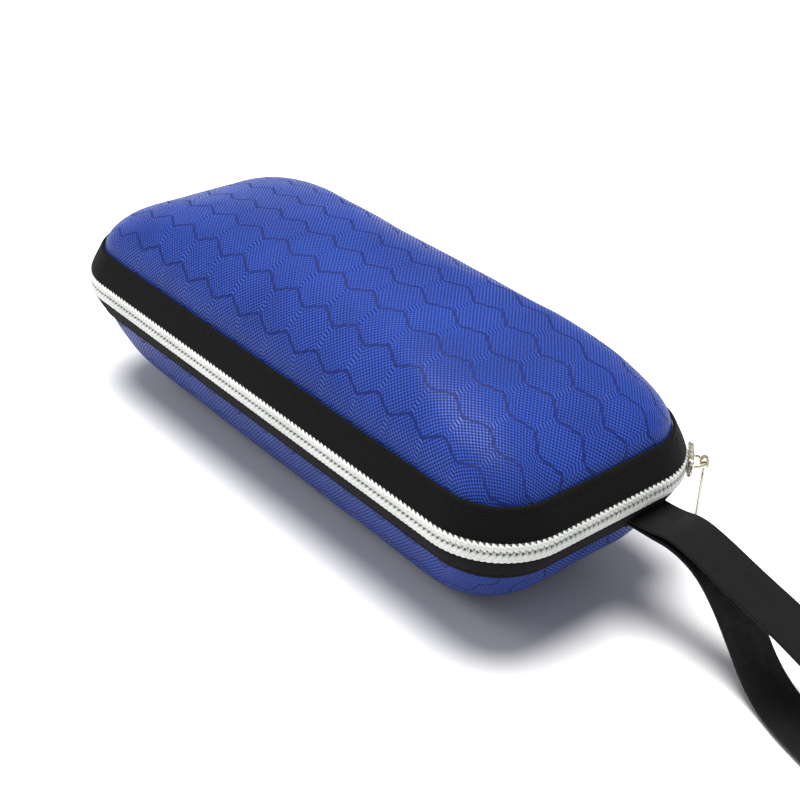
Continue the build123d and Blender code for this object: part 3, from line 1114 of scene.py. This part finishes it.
def make_half(name, body, shape, direction, paints):
    """Everything on one half but the hinge strips."""
    cover = wall_layer(name + "_cover", shape, direction, 0, FABRIC, paints["nylon"], ripple=True)
    stand_in(cover, body, name + "_outer_fabric")
    inside = wall_layer(name + "_inside", shape, direction, FABRIC + FOAM, WALL, paints["lining"])
    stand_in(inside, body, name + "_lining")
    fifth_stitch = STITCH_PITCH / 5
    band = rim_sweep(
        name + "_band", band_section(direction), direction, 0, PERIMETER, fifth_stitch, paints["band"])
    stand_in(band, body, name + "_rim_binding")
    thread = many_tubes(name + "_band_thread", band_stitches(direction), THREAD_SIDES, paints["thread"])
    stand_in(thread, body, name + "_binding_stitching")
    edge = rim_sweep(
        name + "_inner_edge", inner_binding_section, direction, 0, PERIMETER, 1.5, paints["band"])
    stand_in(edge, body, name + "_inner_binding")
    tape = rim_sweep(
        name + "_tape", tape_section, direction, TAPE_TAIL, PERIMETER - TAPE_TAIL, 1.0, paints["tape"])
    stand_in(tape, body, name + "_zipper_tape")
    coil = many_tubes(name + "_coil", coil_half(direction), COIL_SIDES, paints["coil"])
    stand_in(coil, body, name + "_zipper_coil")
    beads = many_tubes(
        name + "_coil_thread", coil_stitches(direction), THREAD_SIDES, paints["white_thread"])
    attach(beads, body)


def make_hinge(paints):
    """The two strips over the rear rims, bowed a little across the gap between the bindings."""
    upper_heights = [0.8, 1.6, BAND_START, 3.6, 5.0, HINGE_END]
    heights = [-height for height in reversed(upper_heights)] + [0.0] + upper_heights
    outer, inner = [], []
    for height in heights:
        level = abs(height)
        inset = band_face(level) if level > BAND_START else band_face(BAND_START) + 0.05
        bow = 0.12 * math.cos(min(1.0, level / BAND_START) * math.pi / 2)
        outer.append((inset - 0.80 - bow, height))
        inner.append((inner_face(max(level, RIM_GAP - BINDING)) + 0.05, height))
    strip_outer = hinge_sheet("hinge_outer_sheet", outer, 0.55, paints["hinge"])
    strip_inner = hinge_sheet("hinge_inner_sheet", inner, 0.5, paints["hinge"])
    low, high = [(0, HALF_WIDTH * MM, (ZIP_HEIGHT + side * HINGE_BEND) * MM) for side in (-1, 1)]
    for piece, kind, width in ((strip_outer, "outer", 14.6), (strip_inner, "inner", 14.0)):
        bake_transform(piece)
        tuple(low)
        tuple(high)
        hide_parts(f"upper_hinge_{kind}_leaf", f"lower_hinge_{kind}_leaf")


def paint_cad(node, material):
    """Gives a CAD node that shows as it is a material of its own."""
    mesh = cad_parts[node].data
    mesh.materials.clear()
    mesh.materials.append(material)


def main():
    make_camera()
    make_studio()
    paints = {
        "nylon": paint_nylon(),
        "lining": paint_knit(
            "black_lining_knit", (0.006, 0.006, 0.007), (0.030, 0.030, 0.032), pitch=1.1, depth=0.12),
        "band": paint_knit(
            "black_band_knit", (0.0023, 0.0023, 0.0024), (0.0042, 0.0042, 0.0044), pitch=0.7, depth=0.03),
        "hinge": paint_knit(
            "black_hinge_weave", (0.0035, 0.0035, 0.0036), (0.009, 0.009, 0.009), pitch=0.9, depth=0.07),
        "tape": paint_knit(
            "white_tape_weave", (0.42, 0.43, 0.41), (0.56, 0.57, 0.55), pitch=0.8, depth=0.08),
        "thread": paint_thread("black_thread", (0.0025, 0.0025, 0.0025), (0.0055, 0.0055, 0.0055)),
        "white_thread": paint_thread("white_thread", (0.45, 0.46, 0.44), (0.60, 0.61, 0.59)),
        "ribbon": paint_ribbon(),
        "coil": paint_coil(),
        "metal": paint_metal(),
        "foam": paint_foam(),
        "folds": paint_folds(),
    }
    make_strap(paints["ribbon"])
    make_strap_stitches(paints["thread"])
    make_half("upper", "lid", LID_SHAPE, 1, paints)
    make_half("lower", "base", BASE_SHAPE, -1, paints)
    make_hinge(paints)
    make_slider(paints["metal"])
    make_pull(paints["metal"])
    for node in ("upper_foam_core", "lower_foam_core"):
        paint_cad(node, paints["foam"])
    for node in ("upper_zipper_end_stops", "lower_zipper_end_stops"):
        paint_cad(node, paints["metal"])
    paint_cad("strap_anchor", paints["folds"])


main()
boxes = [[list(map(float, corner)) for corner in box] for box in (CAD_BOX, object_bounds())]
